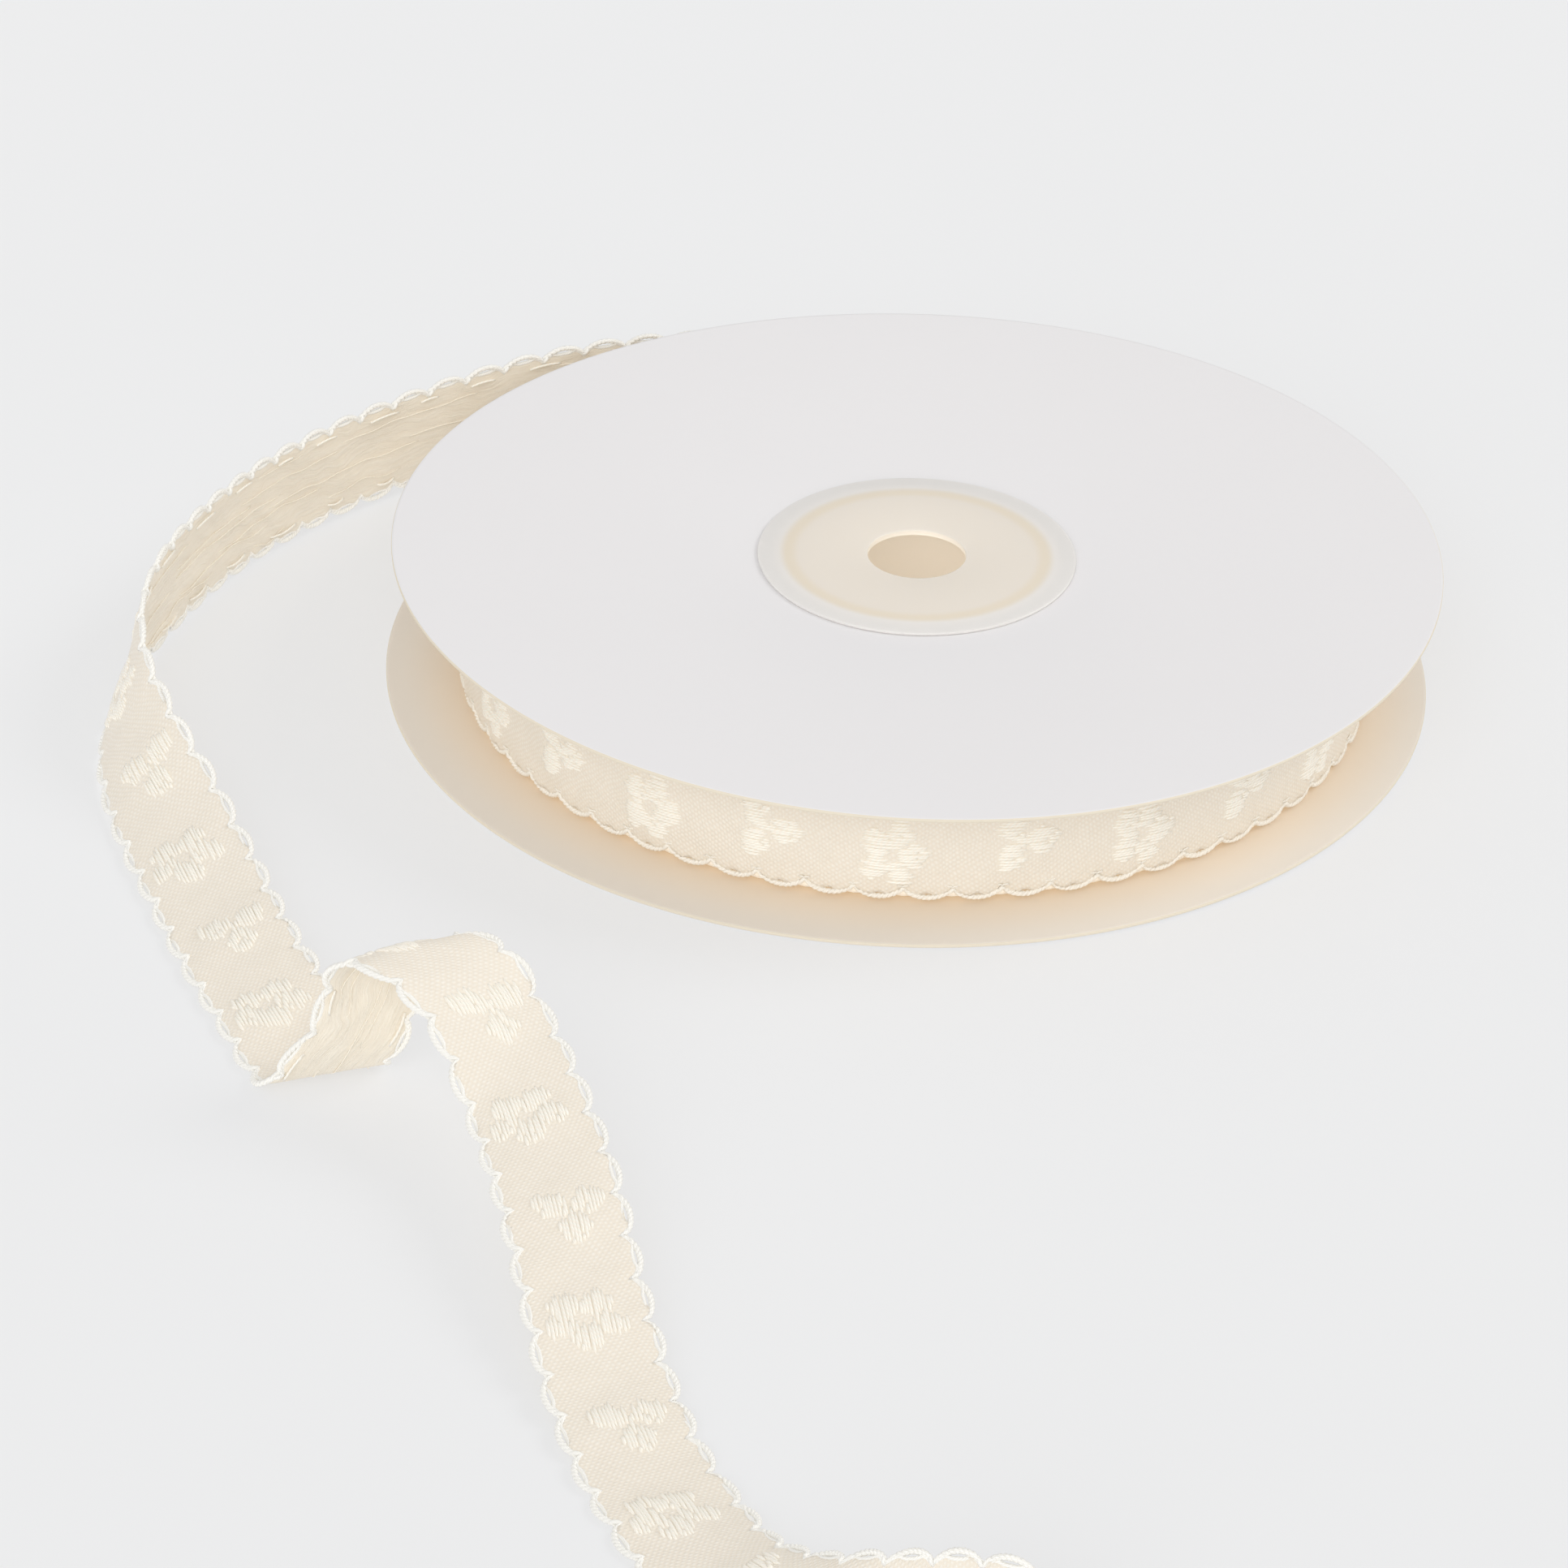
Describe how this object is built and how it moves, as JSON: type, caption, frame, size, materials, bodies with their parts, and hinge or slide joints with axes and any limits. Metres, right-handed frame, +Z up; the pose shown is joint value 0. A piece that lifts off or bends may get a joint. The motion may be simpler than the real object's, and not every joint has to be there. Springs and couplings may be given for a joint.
{
  "type": "spool of gift ribbon",
  "caption": "Flat spool of cream gift ribbon with scalloped edges, wound between white card discs on a bored plastic hub, its loose end trailing over the surface.",
  "frame": {"origin": "bottom centre of the bounding box of the whole part, on the surface it lies on", "axes": "+Z up along the spool's axis, +Y from the end of the loose ribbon towards the spool, +X to the right in the picture"},
  "size_m": [0.1266, 0.204, 0.0144],
  "materials": {
    "card": "smooth uncoated white card, cream at its cut edge",
    "hub_plastic": "frosted translucent plastic",
    "ribbon": "cream woven ground with raised satin floats and twisted cord loops along both edges"
  },
  "bodies": {
    "root": {"flange_lower": "card", "flange_upper": "card", "hub": "hub_plastic", "ribbon_roll": "ribbon", "ribbon_tail": "ribbon"}
  },
  "joints": []
}
